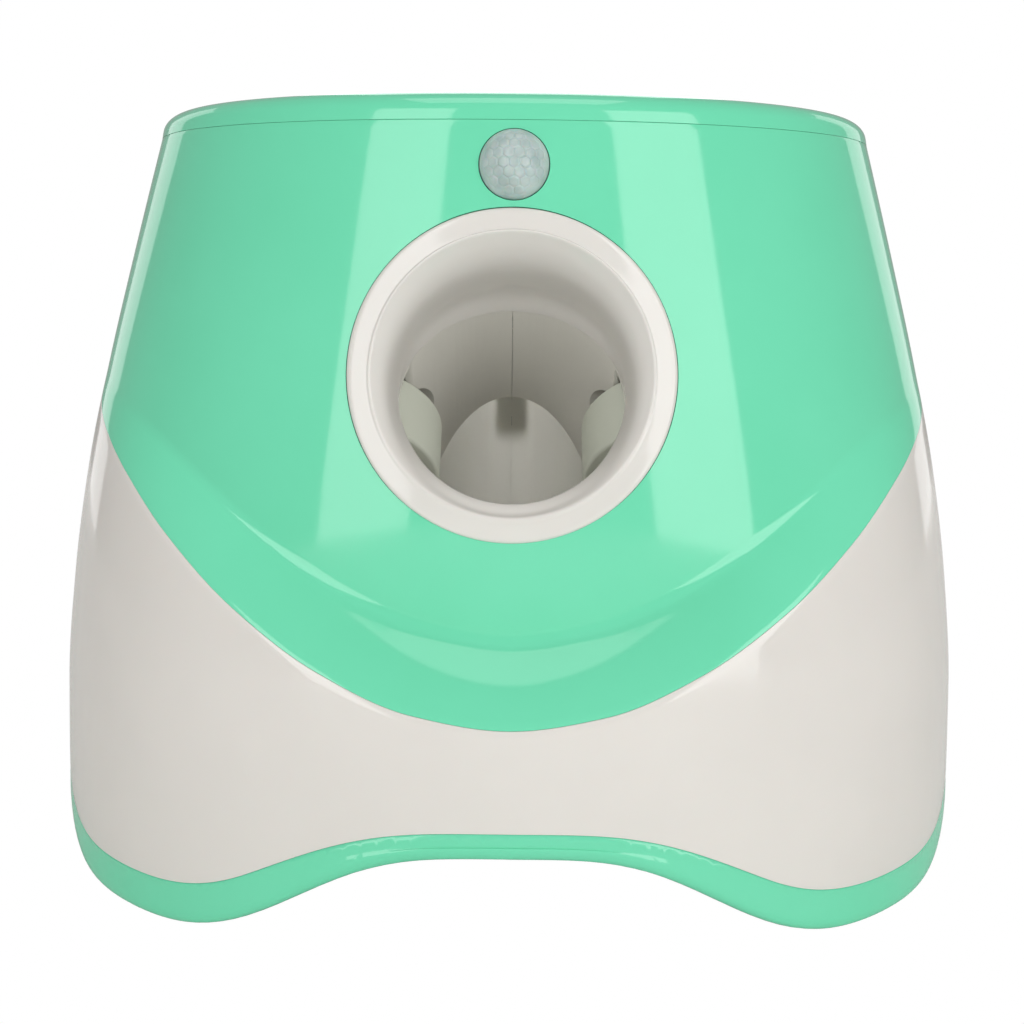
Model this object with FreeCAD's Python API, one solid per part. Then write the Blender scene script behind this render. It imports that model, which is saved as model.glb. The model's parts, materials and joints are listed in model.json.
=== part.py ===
import FreeCAD, Part
import math
import os

# Automatic dog ball launcher, millimetres, +Z up.
# The origin is on the floor under the middle of the body, the muzzle faces -Y.

V = FreeCAD.Vector

# Body, read as a rounded square that shrinks with height
BODY_HEIGHT = 208.0
BODY_PROFILE = [(0, 131.8), (20, 132.0), (50, 131.6), (80, 129.2), (110, 124.9),
                (140, 118.5), (170, 111.1), (200, 103.3), (210, 100.6)]
SQUARENESS_LOW = 2.46
SQUARENESS_HIGH = 2.21
WALL = 2.5
SAMPLES = 72

# Feet and the arches between them
FOOT_GAP = 1.5
ARCH_RISE = 25.8
BAND_MIDDLE = 6.7
BAND_FOOT = 4.3
FLOOR_LOW = 31.0
FLOOR_HIGH = 33.5
BASE_TOP = 38.0
STEP_IN = 2.9
BASE_WALL = 2.5
FOOT_REACH = 83.0
FOOT_COLUMN = 9.0
PAD_RADIUS = 11.0
PAD_TOP = 3.2
PAD_SPIGOT = 3.5

# Edge between the white body and the green shield, and the crease above it, by heading in degrees
SHIELD_EDGE = [(0, 59.0), (10, 62.2), (20, 71.2), (30, 84.5), (40, 99.5), (50, 113.0), (60, 122.5),
               (75, 132.0), (100, 146.0), (130, 163.0), (155, 175.0), (180, 179.0)]
CREASE_RISE = [(0, 16.5), (10, 16.5), (20, 15.5), (30, 14.8), (40, 14.0), (50, 11.5), (60, 8.0),
               (75, 5.0), (100, 4.0), (130, 3.5), (155, 3.5), (180, 3.5)]
FRONT_INSET = 16.0
INSET_REACH = 75.0
SHIELD_TOP = 201.0
SEAM = 0.15
TONGUE = 5.0

# Launch path for a 50 mm ball: barrel and drop tube
BORE = 28.5
TUBE_WALL = 2.5
BARREL_ELEVATION = 40.0
BARREL_MOUTH = (-91.0, 133.0)
DROP_Y = -16.0
DROP_RADIUS = 27.0
DROP_TOP = 170.0

# Muzzle ring
RING_Y = -107.9
RING_Z = 140.5
RING_TILT = 4.4
RING_RADIUS = 40.0
RING_GAP = 0.35
RING_PROUD = 0.8
RING_DEPTH = 9.0
COLLAR_DEPTH = 5.5
LIP_RADIUS = 34.0

# Flywheels
WHEEL_RADIUS = 27.0
WHEEL_HALF_GAP = 18.8
WHEEL_S = 25.0
WHEEL_LOW = -7.3
WHEEL_HIGH = 10.2
WHEEL_X = WHEEL_HALF_GAP + WHEEL_RADIUS
TYRE_DEPTH = 3.5
AXLE_RADIUS = 1.5
MOTOR_RADIUS = 12.0
MOTOR_LENGTH = 30.0
SLOT_HALF = 23.8

# Feed gate
GATE_Y = 20.0
GATE_Z = 160.0
GATE_LENGTH = 28.0
GATE_HALF_WIDTH = 5.0
GATE_HALF_DEPTH = 3.5

# Motion sensor
PIR_Z = 190.5
PIR_RADIUS = 8.3

# Battery bay
BAY_HALF_X = 41.0
BAY_Y0 = 22.0
BAY_Y1 = 100.0
BAY_TOP = 62.0

# Control panel on the back
PANEL_Z = 132.0
PANEL_TILT = 13.5
PANEL_HALF_X = 37.0
PANEL_HALF_Z = 16.0
PANEL_PROUD = 1.6
PANEL_DEPTH = 9.5
BUTTON_RADIUS = 8.0
BUTTON_X = 19.0

# Power inlet on the back's right, by heading and height
INLET_TURN = 160.0
INLET_Z = 66.0
INLET_RADIUS = 6.0

# Screws up into the body, from the middle
SCREW_X = 54.0
SCREW_Y = 92.0


def smooth_curve(points, x):
    """Height of a shape-keeping cubic through the points, at x."""
    if x <= points[0][0]:
        return points[0][1]
    if x >= points[-1][0]:
        return points[-1][1]
    steps = [(b[1] - a[1]) / (b[0] - a[0]) for a, b in zip(points, points[1:])]
    slopes = [0.0]
    for before, after in zip(steps, steps[1:]):
        slopes.append(0.0 if before * after <= 0 else 2 * before * after / (before + after))
    slopes.append(steps[-1])
    k = max(i for i in range(len(points) - 1) if points[i][0] <= x)
    (x0, y0), (x1, y1) = points[k], points[k + 1]
    w = x1 - x0
    t = (x - x0) / w
    return ((2 * t**3 - 3 * t**2 + 1) * y0 + (t**3 - 2 * t**2 + t) * w * slopes[k]
            + (3 * t**2 - 2 * t**3) * y1 + (t**3 - t**2) * w * slopes[k + 1])


def heading(p):
    """Heading folded to 0 to 180 degrees from the front."""
    turn = math.degrees(p) % 360
    return min(turn, 360 - turn)


def foot_shape(p):
    """1 in the middle of an arch and 0 at a foot."""
    t = math.cos(2 * p) ** 2
    return t + 1.85 * t * (1 - t) * (t - 0.465)


def low_edge(p):
    return FOOT_GAP + ARCH_RISE * foot_shape(p)


def band_edge(p):
    s = min(1.0, 1.5 * math.sin(2 * p) ** 2)
    return low_edge(p) + BAND_MIDDLE + BAND_FOOT * s * s * (3 - 2 * s)


def shield_edge(p):
    return smooth_curve(SHIELD_EDGE, heading(p))


def crease(p):
    return shield_edge(p) + smooth_curve(CREASE_RISE, heading(p))


def inset(p, z):
    """How far the shield's front stands behind the plain profile: all of it at the crease."""
    turn = heading(p)
    if turn >= INSET_REACH:
        return 0.0
    deepest = FRONT_INSET * math.cos(math.radians(90 * turn / INSET_REACH)) ** 2
    edge, fold = shield_edge(p), crease(p)
    if z <= edge:
        return 0.0
    if z < fold:
        t = (z - edge) / (fold - edge)
        return deepest * (0.72 * t + 0.28 * t * t)
    return deepest * max(0.0, (SHIELD_TOP - z) / (SHIELD_TOP - fold))


def skin_point(p, z, depth):
    """Point at heading p and height z, depth millimetres inside the outer skin."""
    n = SQUARENESS_LOW + (SQUARENESS_HIGH - SQUARENESS_LOW) * min(z, 200.0) / 200.0
    s, c = math.sin(p), math.cos(p)
    spread = (abs(s) ** n + abs(c) ** n) ** (-1 / n)
    r = (smooth_curve(BODY_PROFILE, z) - inset(p, z) - depth) * spread
    return V(r * s, -r * c, z)


def closed_edge(place):
    """Closed smooth edge through place(p) for p once round."""
    points = [place(2 * math.pi * i / SAMPLES) for i in range(SAMPLES)]
    curve = Part.BSplineCurve()
    curve.interpolate(Points=points, PeriodicFlag=True, Parameters=[i / SAMPLES for i in range(SAMPLES + 1)])
    return Part.Wire(curve.toShape())


def skin_edge(height, depth):
    """Closed edge on the body at height(p) and a depth inside the skin."""
    if not callable(height):
        level = height
        height = lambda p: level
    return closed_edge(lambda p: skin_point(p, height(p), depth))


def between(low, high, t):
    return lambda p: low(p) + (high(p) - low(p)) * t


def ring_solid(bands):
    """Closed solid from a loop of bands, each a list of edges joined by one smooth or ruled face."""
    faces = []
    for edges in bands:
        if len(edges) == 2:
            faces.append(Part.makeRuledSurface(edges[0].Edges[0], edges[1].Edges[0]))
        else:
            faces += Part.makeLoft(edges, False, False).Faces
    shell = Part.makeShell(faces)
    shell.sewShape()
    solid = Part.makeSolid(shell)
    if solid.Volume < 0:
        solid.reverse()
    return solid


def filled(edges):
    """Solid through a stack of closed edges, with flat ends."""
    return Part.makeLoft(edges, True, False)


def box(x0, x1, y0, y1, z0, z1):
    return Part.makeBox(x1 - x0, y1 - y0, z1 - z0, V(x0, y0, z0))


def rounded_box(x0, x1, y0, y1, z0, z1, r):
    """Box whose four upright edges are rounded."""
    body = box(x0, x1, y0, y1, z0, z1)
    upright = [e for e in body.Edges if abs(e.tangentAt(e.FirstParameter).z) > 0.9]
    return body.makeFillet(r, upright)


def cylinder(r, start, axis, length):
    return Part.makeCylinder(r, length, V(*start), V(*axis))


def one(shapes):
    """Fuse a list of shapes into one solid."""
    whole = shapes[0]
    for extra in shapes[1:]:
        whole = whole.fuse(extra)
    return whole.removeSplitter()


def barrel_frame(x, s, m):
    """Point from the barrel's own coordinates: x sideways, s inwards along the axis, m square to it."""
    e = math.radians(BARREL_ELEVATION)
    y = BARREL_MOUTH[0] + s * math.cos(e) + m * math.sin(e)
    z = BARREL_MOUTH[1] - s * math.sin(e) + m * math.cos(e)
    return V(x, y, z)


def in_barrel(shape):
    """Carry a shape drawn with X sideways, Y inwards and Z square to them onto the barrel's axis."""
    moved = shape.copy()
    sloping = FreeCAD.Placement(barrel_frame(0, 0, 0), FreeCAD.Rotation(V(1, 0, 0), -BARREL_ELEVATION))
    moved.Placement = sloping.multiply(shape.Placement)
    return moved


def panel_block(margin, low, high):
    """The control panel's outline, margin millimetres inside its edge, from low to high along its face."""
    block = rounded_box(-PANEL_HALF_X + margin, PANEL_HALF_X - margin, -PANEL_HALF_Z + margin,
                        PANEL_HALF_Z - margin, low, high, 9 - margin)
    block.rotate(V(0, 0, 0), V(1, 0, 0), -90)
    return block


def on_panel(shape):
    """Carry a shape drawn with Y out of the panel's face onto the leaning back wall."""
    moved = shape.copy()
    foot = V(0, smooth_curve(BODY_PROFILE, PANEL_Z), PANEL_Z)
    leaning = FreeCAD.Placement(foot, FreeCAD.Rotation(V(1, 0, 0), PANEL_TILT))
    moved.Placement = leaning.multiply(shape.Placement)
    return moved


def wall_frame(turn, z):
    """Point on the outer skin at a heading in degrees and a height, with the way out there."""
    p = math.radians(turn)
    at = skin_point(p, z, 0)
    across = skin_point(p + 0.01, z, 0) - skin_point(p - 0.01, z, 0)
    upward = skin_point(p, z + 1, 0) - skin_point(p, z - 1, 0)
    out = across.cross(upward)
    out.normalize()
    return at, out if out.dot(at) > 0 else out * -1


parts = {}


def keep(name, shape):
    """Record a finished sub-part."""
    parts[name] = shape


# Launch path as a void and as the tube around it

ELEVATION = math.radians(BARREL_ELEVATION)
BARREL_IN = (0, math.cos(ELEVATION), -math.sin(ELEVATION))
BARREL_LENGTH = (DROP_Y - BARREL_MOUTH[0]) / math.cos(ELEVATION)
CUP = barrel_frame(0, BARREL_LENGTH, 0)


def path_solid(barrel, drop, start, top):
    """Barrel with a round end, and the drop tube that meets it."""
    run = BARREL_LENGTH - start
    profile = Part.Wire([
        Part.LineSegment(V(0, 0, 0), V(barrel, 0, 0)).toShape(),
        Part.LineSegment(V(barrel, 0, 0), V(barrel, run, 0)).toShape(),
        Part.Arc(V(barrel, run, 0), V(barrel * math.sqrt(0.5), run + barrel * math.sqrt(0.5), 0),
                 V(0, run + barrel, 0)).toShape(),
        Part.LineSegment(V(0, run + barrel, 0), V(0, 0, 0)).toShape()])
    sleeve = Part.Face(profile).revolve(V(0, 0, 0), V(0, 1, 0), 360)
    sleeve.Placement = FreeCAD.Placement(barrel_frame(0, start, 0),
                                         FreeCAD.Rotation(V(1, 0, 0), -BARREL_ELEVATION))
    upright = cylinder(drop, (0, DROP_Y, CUP.z), (0, 0, 1), top - CUP.z)
    return sleeve.fuse(upright)


path_void = path_solid(BORE, DROP_RADIUS, -1.0, DROP_TOP + 1)
path_outer = path_solid(BORE + TUBE_WALL, DROP_RADIUS + TUBE_WALL, 0.0, DROP_TOP)

# Base tray: mint band, arches, four foot columns, floor


def make_base_tray():
    low_middle = between(low_edge, band_edge, 0.5)
    inner = STEP_IN + BASE_WALL
    top = lambda p: BASE_TOP
    wall = ring_solid([
        [skin_edge(lambda p: low_edge(p), 2.0), skin_edge(lambda p: low_edge(p) + 0.7, 0.7),
         skin_edge(lambda p: low_edge(p) + 2.4, 0.0), skin_edge(low_middle, 0.0), skin_edge(band_edge, 0.0)],
        [skin_edge(band_edge, 0.0), skin_edge(band_edge, STEP_IN)],
        [skin_edge(band_edge, STEP_IN), skin_edge(between(band_edge, top, 0.33), STEP_IN),
         skin_edge(between(band_edge, top, 0.67), STEP_IN), skin_edge(top, STEP_IN)],
        [skin_edge(top, STEP_IN), skin_edge(top, inner)],
        [skin_edge(top, inner), skin_edge(between(low_edge, top, 0.67), inner),
         skin_edge(between(low_edge, top, 0.33), inner), skin_edge(low_edge, inner)],
        [skin_edge(low_edge, inner), skin_edge(low_edge, 2.0)]])
    plate = Part.Face(skin_edge(FLOOR_LOW, inner - 0.8)).extrude(V(0, 0, FLOOR_HIGH - FLOOR_LOW))
    tray = wall.fuse(plate)
    for sx in (-1, 1):
        for sy in (-1, 1):
            tray = tray.fuse(cylinder(FOOT_COLUMN, (sx * FOOT_REACH, sy * FOOT_REACH, PAD_TOP), (0, 0, 1),
                                      FLOOR_LOW - PAD_TOP + 1))
            tray = tray.cut(cylinder(PAD_SPIGOT + 0.1, (sx * FOOT_REACH, sy * FOOT_REACH, 0), (0, 0, 1),
                                     PAD_TOP + 5.2))
    tray = tray.cut(box(-BAY_HALF_X, BAY_HALF_X, BAY_Y0, BAY_Y1, FLOOR_LOW - 1, FLOOR_HIGH + 1))
    rail_out = BAY_HALF_X + 6.5
    for side in (-1, 1):
        rail = box(BAY_HALF_X + 3.5, rail_out, BAY_Y0 - 4, BAY_Y1 + 4, 26.0, FLOOR_LOW + 0.5)
        lip = box(BAY_HALF_X + 1.5, rail_out, BAY_Y0 - 4, BAY_Y1 + 4, 26.0, 27.5)
        pair = rail.fuse(lip)
        tray = tray.fuse(pair if side > 0 else pair.mirror(V(0, 0, 0), V(1, 0, 0)))
    cradle = box(-14, 14, DROP_Y - 12, DROP_Y + 12, FLOOR_HIGH - 0.5, CUP.z - 20)
    cradle = cradle.cut(Part.makeSphere(BORE + TUBE_WALL + 0.05, CUP))
    return tray.fuse(cradle)


keep("base_tray", make_base_tray())

for label, sx, sy in (("front_left", -1, -1), ("front_right", 1, -1), ("rear_left", -1, 1), ("rear_right", 1, 1)):
    at = (sx * FOOT_REACH, sy * FOOT_REACH)
    pad = Part.makeCone(PAD_RADIUS - 1.0, PAD_RADIUS, 1.0, V(at[0], at[1], 0))
    pad = pad.fuse(cylinder(PAD_RADIUS, (at[0], at[1], 1.0), (0, 0, 1), PAD_TOP - 1.0))
    pad = pad.fuse(cylinder(PAD_SPIGOT, (at[0], at[1], PAD_TOP - 0.5), (0, 0, 1), 5.5))
    keep("foot_pad_" + label, pad.removeSplitter())

# White body shell: skirt, sides and back


def speaker_holes():
    """Hexagon of round holes for the sound, low on the back's left."""
    pitch, radius = 5.2, 1.5
    holes = []
    for row in range(-2, 3):
        count = 5 - abs(row)
        for i in range(count):
            x = -62 + (i - (count - 1) / 2) * pitch
            z = 84 + row * pitch * math.sqrt(0.75)
            holes.append(cylinder(radius, (x, 60, z), (0, 1, 0), 90))
    return Part.makeCompound(holes)


def make_body_shell():
    low = lambda p: band_edge(p) + 2 * SEAM
    high = lambda p: shield_edge(p) - SEAM
    outer = [skin_edge(between(low, high, t), 0.0) for t in (0, 0.2, 0.4, 0.6, 0.8, 1)]
    inner = [skin_edge(between(low, high, t), WALL) for t in (1, 0.8, 0.6, 0.4, 0.2, 0)]
    shell = ring_solid([outer, [outer[-1], inner[0]], inner, [inner[-1], outer[0]]])
    shell = shell.cut(on_panel(panel_block(-0.2, -20, 12)))
    at, out = wall_frame(INLET_TURN, INLET_Z)
    shell = shell.cut(Part.makeCylinder(INLET_RADIUS + 0.15, 30, at - out * 20, out))
    return shell.cut(speaker_holes())


keep("body_shell", make_body_shell())

# Green shield: front, sides and a collar round the top


def ring_axis():
    t = math.radians(RING_TILT)
    return V(0, -math.cos(t), math.sin(t))


RING_OUT = ring_axis()
RING_AT = V(0, RING_Y, RING_Z)


def along_ring(r, front, back):
    """Cylinder about the muzzle ring's axis, from front to back millimetres behind its centre."""
    start = RING_AT - RING_OUT * back
    return Part.makeCylinder(r, back - front, start, RING_OUT)


def body_block(depth):
    """The front of the body as one block, depth millimetres inside the skin."""
    levels = [88.0, 100.0, 115.0, 130.0, 145.0, 160.0, 175.0, 190.0, 200.0]
    return filled([skin_edge(z, depth) for z in levels])


def make_front_shield():
    edge = lambda p: shield_edge(p) + SEAM
    top = lambda p: SHIELD_TOP
    flare = lambda depth: [skin_edge(between(edge, crease, t), depth) for t in (0, 0.5, 1)]
    wall = lambda depth: [skin_edge(between(crease, top, t), depth) for t in (0, 0.2, 0.4, 0.6, 0.8, 1)]
    tongue_low = lambda p: edge(p) - TONGUE
    tongue_root = lambda p: edge(p) + 0.8
    inner_flare = [skin_edge(between(tongue_root, crease, t), WALL + STEP_IN * (1 - t)) for t in (0, 0.5, 1)]
    shield = ring_solid([
        flare(0.0),
        wall(0.0),
        [skin_edge(top, 0.0), skin_edge(top, WALL)],
        wall(WALL)[::-1],
        inner_flare[::-1],
        [skin_edge(tongue_root, WALL + STEP_IN), skin_edge(tongue_low, WALL + STEP_IN)],
        [skin_edge(tongue_low, WALL + STEP_IN), skin_edge(tongue_low, STEP_IN)],
        [skin_edge(tongue_low, STEP_IN), skin_edge(edge, STEP_IN)],
        [skin_edge(edge, STEP_IN), skin_edge(edge, 0.0)]])
    collar = along_ring(RING_RADIUS + RING_GAP + 2.2, -6, COLLAR_DEPTH).common(body_block(1.0))
    lens_room = Part.makeCylinder(PIR_RADIUS + 1.5, 10, SENSOR_SEAT - SENSOR_OUT * 3.85, SENSOR_OUT * -1)
    shield = shield.fuse(collar.cut(lens_room))
    shield = shield.cut(along_ring(RING_RADIUS + RING_GAP, -10, 30))
    lens_hole = Part.makeCylinder(PIR_RADIUS + 0.2, 40, SENSOR_SEAT + SENSOR_OUT * 20, SENSOR_OUT * -1)
    return shield.cut(lens_hole)


SENSOR_OUT = ring_axis()
SENSOR_SEAT = V(0, -104.2, PIR_Z)
keep("front_shield", make_front_shield())

# Hopper: rounded rim and the bowl that leads the ball to the drop tube


def hopper_edge(z, half, squareness, centre):
    def place(p):
        s, c = math.sin(p), math.cos(p)
        r = half * (abs(s) ** squareness + abs(c) ** squareness) ** (-1 / squareness)
        return V(r * s, centre - r * c, z)
    return closed_edge(place)


def make_hopper():
    n = SQUARENESS_HIGH
    lip = [(201.3, 103.0), (204.2, 102.3), (206.3, 100.5), (207.6, 97.8), (BODY_HEIGHT, 94.8),
           (207.2, 91.9), (205.0, 89.3)]
    bowl = [(205.0, 89.3, n, 0), (196.5, 74.0, 2.15, -4), (186.5, 53.0, 2.08, -10), (178.0, 36.0, 2.0, -15),
            (174.0, DROP_RADIUS + 1.0, 2.0, DROP_Y)]
    under = [(170.4, DROP_RADIUS + 3.2, 2.0, DROP_Y), (175.5, 38.0, 2.0, -15), (183.6, 54.5, 2.08, -10),
             (193.6, 76.0, 2.15, -4), (202.2, 91.0, n, 0)]
    rim = [hopper_edge(z, a, n, 0) for z, a in lip]
    top = [hopper_edge(*row) for row in bowl]
    bottom = [hopper_edge(*row) for row in under]
    neck = hopper_edge(170.4, DROP_RADIUS + 0.5, 2.0, DROP_Y)
    shoulder = hopper_edge(204.4, 97.5, n, 0)
    hem = hopper_edge(201.3, 100.4, n, 0)
    return ring_solid([rim, top, [top[-1], neck], [neck, bottom[0]], bottom, [bottom[-1], shoulder],
                       [shoulder, hem], [hem, rim[0]]])


keep("hopper_funnel", make_hopper())

# Muzzle ring: a face that follows the shield, and a wide lip that leads into the barrel


def circle_edge(centre, r, elevation):
    t = math.radians(elevation)
    axis = V(0, -math.cos(t), math.sin(t))
    return Part.Wire(Part.Circle(centre, axis, r).toShape())


def make_muzzle_ring():
    face = along_ring(RING_RADIUS, -6, RING_DEPTH).common(body_block(-RING_PROUD))
    sleeve = cylinder(BORE + TUBE_WALL, tuple(barrel_frame(0, -30, 0)), BARREL_IN, 29.9)
    sleeve = sleeve.common(along_ring(RING_RADIUS - 4, 1.0, 40))
    mouth = filled([
        circle_edge(RING_AT + RING_OUT * 6 + V(0, 0, -1.2), 38.5, RING_TILT),
        circle_edge(RING_AT + RING_OUT * 1.2 + V(0, 0, -1.3), LIP_RADIUS, RING_TILT),
        circle_edge(V(0, -104.6, 137.0), 30.2, 12.7),
        circle_edge(barrel_frame(0, -8, 0), 28.6, 34.0),
        circle_edge(barrel_frame(0, 1.5, 0), BORE, BARREL_ELEVATION)])
    low_lip = cylinder(29.3, (0, -125.0, 133.8), (0, 0.951, 0.309), 10.5)
    return face.fuse(sleeve).cut(mouth).cut(path_void).cut(low_lip)


keep("muzzle_ring", make_muzzle_ring())

# Launch chamber: two halves that meet on the middle plane


def make_chamber():
    ears = [box(-8, 8, 12, 20, 78, 90), box(-8, 8, 12, 20, 112, 122)]
    front_ear = in_barrel(box(-8, 8, 8, 18, BORE, BORE + 10))
    legs = [box(sx * 21 - 5, sx * 21 + 5, DROP_Y - 8, DROP_Y + 8, FLOOR_HIGH, CUP.z) for sx in (-1, 1)]
    whole = path_outer
    for extra in ears + [front_ear] + legs:
        whole = whole.fuse(extra)
    whole = whole.cut(path_void)
    for sx in (-1, 1):
        slot = box(20, 45, WHEEL_S - SLOT_HALF, WHEEL_S + SLOT_HALF, -10, 11)
        slot = slot.fuse(cylinder(17.0, (20, WHEEL_S + 2, 2), (1, 0, 0), 25))
        slot = in_barrel(slot if sx > 0 else slot.mirror(V(0, 0, 0), V(1, 0, 0)))
        whole = whole.cut(slot)
    gate_slot = box(-GATE_HALF_WIDTH - 1.2, GATE_HALF_WIDTH + 1.2, DROP_Y, 40, 129, DROP_TOP - 4)
    whole = whole.cut(gate_slot)
    for z in (84, 117):
        whole = whole.cut(cylinder(1.55, (-9, 16.5, z), (1, 0, 0), 18))
    at = barrel_frame(-9, 13, BORE + 6.5)
    whole = whole.cut(along_ring(RING_RADIUS + 0.1, -6, RING_DEPTH + 0.1))
    return whole.cut(cylinder(1.55, (at.x, at.y, at.z), (1, 0, 0), 18))


chamber = make_chamber()
keep("chamber_left", chamber.common(box(-80, -0.06, -150, 80, 0, 200)))
keep("chamber_right", chamber.common(box(0.06, 80, -150, 80, 0, 200)))


def screw(at, axis, shank, head, length):
    """Pan-head screw whose head starts at a point and whose shank runs along the axis."""
    direction = V(*axis)
    body = Part.makeCylinder(shank, length, V(*at), direction)
    cap = Part.makeCylinder(head, 1.8, V(*at) - direction * 1.8, direction)
    drive = Part.makeCylinder(head * 0.45, 1.0, V(*at) - direction * 1.8, direction)
    return body.fuse(cap).cut(drive)


front_screw = barrel_frame(-8.05, 13, BORE + 6.5)
keep("chamber_screws", Part.makeCompound([
    screw((-8.05, 16.5, 84), (1, 0, 0), 1.5, 2.8, 15),
    screw((-8.05, 16.5, 117), (1, 0, 0), 1.5, 2.8, 15),
    screw(tuple(front_screw), (1, 0, 0), 1.5, 2.8, 15)]))

# Flywheels, each on its own motor above the barrel


def make_wheel_set(side, sx):
    x = sx * WHEEL_X
    rim = WHEEL_RADIUS - TYRE_DEPTH
    mid = (WHEEL_LOW + WHEEL_HIGH) / 2
    up = barrel_frame(0, 0, 1) - barrel_frame(0, 0, 0)

    def disc(r, low, high):
        return Part.makeCylinder(r, high - low, barrel_frame(x, WHEEL_S, low), up)

    hub = disc(rim, WHEEL_LOW, WHEEL_HIGH)
    for low, high in ((WHEEL_LOW - 1, mid - 1.5), (mid + 1.5, WHEEL_HIGH + 1)):
        hub = hub.cut(disc(rim - 2.5, low, high).cut(disc(5.0, low, high)))
    for k in range(6):
        angle = math.radians(60 * k)
        spot = barrel_frame(x + 13 * math.cos(angle), WHEEL_S + 13 * math.sin(angle), mid - 3)
        hub = hub.cut(Part.makeCylinder(3.6, 6, spot, up))
    hub = hub.cut(disc(AXLE_RADIUS + 0.02, WHEEL_LOW - 1, WHEEL_HIGH + 1))
    keep("flywheel_hub_" + side, hub)
    tyre = disc(WHEEL_RADIUS, WHEEL_LOW, WHEEL_HIGH).cut(disc(rim + 0.02, WHEEL_LOW - 1, WHEEL_HIGH + 1))
    outer_edges = [e for e in tyre.Edges if abs(e.BoundBox.XLength - 2 * WHEEL_RADIUS) < 0.5]
    tyre = tyre.makeFillet(1.2, [e for e in outer_edges if e.Curve.TypeId == "Part::GeomCircle"])
    keep("flywheel_tyre_" + side, tyre)
    motor_low = WHEEL_HIGH + 6.0
    keep("motor_shaft_" + side, disc(AXLE_RADIUS, WHEEL_LOW, motor_low + MOTOR_LENGTH - 2))
    can = disc(MOTOR_RADIUS, motor_low, motor_low + MOTOR_LENGTH)
    can = can.fuse(disc(4.5, motor_low + MOTOR_LENGTH - 1, motor_low + MOTOR_LENGTH + 2.5))
    can = can.cut(disc(AXLE_RADIUS + 0.05, motor_low - 1, motor_low + MOTOR_LENGTH - 1.5))
    keep("motor_" + side, can)
    low, high = WHEEL_HIGH + 2.8, motor_low - 0.05
    outer = x + sx * 16
    inner = sx * 16
    plate = box(min(inner, outer), max(inner, outer), WHEEL_S - 27, WHEEL_S + 27, low, high)
    plate = in_barrel(plate)
    grip = disc(MOTOR_RADIUS + 2.5, high - 0.5, motor_low + 12).cut(disc(MOTOR_RADIUS + 0.05, high, motor_low + 13))
    plate = plate.fuse(grip).cut(disc(4.0, low - 1, high + 1))
    plate = plate.cut(path_solid(BORE + TUBE_WALL + 0.05, DROP_RADIUS + TUBE_WALL + 0.05, -20, DROP_TOP))
    holes = []
    screws = []
    for angle in (0, 180):
        spot = barrel_frame(x, WHEEL_S + 8.5 * math.cos(math.radians(angle)), low)
        holes.append(Part.makeCylinder(1.3, 5, spot - up, up))
        screws.append(screw(tuple(spot - up * 0.02), tuple(up), 1.25, 2.2, high - low))
    keep("motor_bracket_" + side, plate.cut(Part.makeCompound(holes)))
    return screws


motor_screws = make_wheel_set("left", -1) + make_wheel_set("right", 1)
keep("motor_screws", Part.makeCompound(motor_screws))

# Feed gate: a finger that swings down out of the drop tube and lets one ball through


def make_gate():
    finger = box(-GATE_HALF_WIDTH, GATE_HALF_WIDTH, GATE_Y - GATE_LENGTH + GATE_HALF_DEPTH, GATE_Y,
                 GATE_Z - GATE_HALF_DEPTH, GATE_Z + GATE_HALF_DEPTH)
    tip = cylinder(GATE_HALF_DEPTH, (-GATE_HALF_WIDTH, GATE_Y - GATE_LENGTH + GATE_HALF_DEPTH, GATE_Z),
                   (1, 0, 0), 2 * GATE_HALF_WIDTH)
    boss = cylinder(4.5, (-GATE_HALF_WIDTH, GATE_Y, GATE_Z), (1, 0, 0), 2 * GATE_HALF_WIDTH)
    gate = finger.fuse(tip).fuse(boss).removeSplitter()
    return gate.cut(cylinder(2.02, (-10, GATE_Y, GATE_Z), (1, 0, 0), 20))


keep("feed_gate", make_gate())
keep("gate_shaft", cylinder(2.0, (-9.5, GATE_Y, GATE_Z), (1, 0, 0), 22.0))

gearbox = rounded_box(8.0, 26.0, GATE_Y - 6.5, GATE_Y + 9.0, GATE_Z - 9, GATE_Z + 8, 1.5)
gearbox = gearbox.fuse(cylinder(7.0, (25.5, GATE_Y + 1.2, GATE_Z - 0.5), (1, 0, 0), 22))
gearbox = gearbox.cut(cylinder(2.06, (7, GATE_Y, GATE_Z), (1, 0, 0), 6))
keep("gate_gearmotor", gearbox)

yoke = box(-10.0, -7.0, 10.5, GATE_Y + 7, GATE_Z - 12, GATE_Z + 6)
yoke = yoke.fuse(box(-10.0, 10.0, 10.5, GATE_Y + 9.0, 124.0, 128.0))
yoke = yoke.fuse(box(-10.0, -7.0, 10.5, GATE_Y + 7, 125.0, GATE_Z - 11))
yoke = yoke.fuse(box(7.2, 10.0, 14.5, GATE_Y + 9.0, 125.0, GATE_Z - 9.1))
yoke = yoke.fuse(box(7.2, 24.0, 15.0, GATE_Y + 9.0, GATE_Z - 12.0, GATE_Z - 9.1))
yoke = yoke.cut(path_solid(BORE + TUBE_WALL + 0.05, DROP_RADIUS + TUBE_WALL + 0.05, -20, DROP_TOP + 5))
yoke = yoke.cut(cylinder(2.06, (-12, GATE_Y, GATE_Z), (1, 0, 0), 8))
keep("gate_bracket", yoke.removeSplitter())

# Motion sensor behind its faceted dome


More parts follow.
